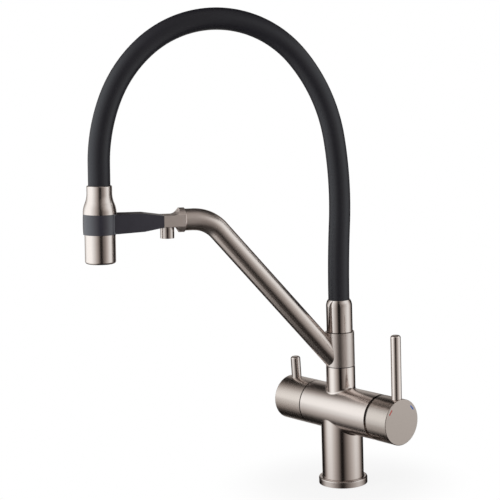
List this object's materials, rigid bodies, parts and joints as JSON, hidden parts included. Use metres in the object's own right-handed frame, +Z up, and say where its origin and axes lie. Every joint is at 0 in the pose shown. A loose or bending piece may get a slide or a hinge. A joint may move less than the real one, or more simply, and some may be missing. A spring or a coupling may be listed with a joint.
{
  "type": "kitchen filter tap",
  "caption": "Deck-mounted kitchen mixer tap with a flexible black hose spout, a spray head docked on a rigid filtered-water arm, and separate mixer and filter levers.",
  "frame": {"origin": "middle of the base on the deck, at the mouth of the fixing stud's hole", "axes": "+Z up; +X along the barrel to the mixer handle; the filter handle is at -X and the front at -Y"},
  "size_m": [0.2028, 0.26, 0.4867],
  "materials": {
    "nickel": "satin",
    "silicone": "matt",
    "plastic": "satin",
    "brass": "machined",
    "ceramic": "polished",
    "rubber": "matt",
    "white_plastic": "moulded",
    "steel": "machined",
    "red": "gloss",
    "blue": "gloss"
  },
  "bodies": {
    "fixed_body": {"base_flange": "nickel", "deck_gasket": "rubber", "tap_body": "nickel", "cartridge_housing": "white_plastic", "cartridge_seals": "rubber", "fixed_disc": "ceramic", "cartridge_nut": "brass", "filter_valve_body": "brass", "filter_fixed_disc": "ceramic", "filter_seat_seal": "rubber", "riser_spigot": "brass", "swivel_o_rings": "rubber", "swivel_washer": "plastic", "swivel_circlip": "steel"},
    "spout": {"swivel_collar": "nickel", "arm_tube": "nickel", "arm_fitting": "nickel", "filter_outlet": "nickel", "filter_aerator": "white_plastic", "head_holder": "plastic", "holder_screw": "steel", "hose_ferrule": "nickel", "riser_hose_tail": "brass", "hose_tail_seal": "rubber", "spout_hose": "silicone"},
    "spray_head": {"head_bell": "nickel", "head_shell": "nickel", "head_hose_tail": "brass", "head_seal": "rubber", "head_nozzle": "plastic"},
    "temperature_carrier": {"cartridge_carrier": "white_plastic", "pivot_pin": "steel"},
    "flow_disc": {"disc_driver": "white_plastic", "moving_disc": "ceramic"},
    "mixer_handle": {"cartridge_stem": "steel", "mixer_cap": "nickel", "mixer_lever": "nickel", "mixer_grub_screw": "steel", "hot_mark": "red", "cold_mark": "blue"},
    "filter_handle": {"filter_spindle": "brass", "filter_moving_disc": "ceramic", "filter_cap": "nickel", "filter_lever": "nickel", "filter_grub_screw": "steel"}
  },
  "joints": [
    {"name": "spout_swivel", "type": "hinge", "parent": "fixed_body", "child": "spout", "pos_m": [0, 0, 0.14], "axis": [0, 0, 1], "continuous": true},
    {"name": "head_lift", "type": "slide", "parent": "spout", "child": "spray_head", "axis": [0.0117, 0.0253, 0.9996], "range_m": [0, 0.055], "deforming": ["spout_hose"]},
    {"name": "temperature", "type": "hinge", "parent": "fixed_body", "child": "temperature_carrier", "pos_m": [0.05, 0, 0.0778], "axis": [1, 0, 0], "range_deg": [-45, 45]},
    {"name": "flow", "type": "hinge", "parent": "temperature_carrier", "child": "mixer_handle", "pos_m": [0.0577, 0, 0.0778], "axis": [0, 1, 0], "range_deg": [0, 12]},
    {"name": "disc_slide", "type": "slide", "parent": "temperature_carrier", "child": "flow_disc", "axis": [0, 0, 1], "range_m": [0, 0.0037]},
    {"name": "filter_turn", "type": "hinge", "parent": "fixed_body", "child": "filter_handle", "pos_m": [-0.05, 0, 0.0778], "axis": [1, 0, 0], "range_deg": [0, 90]}
  ],
  "couplings": [
    {"joint": "disc_slide", "follows": "flow", "m_per_rad": 0.017372}
  ]
}
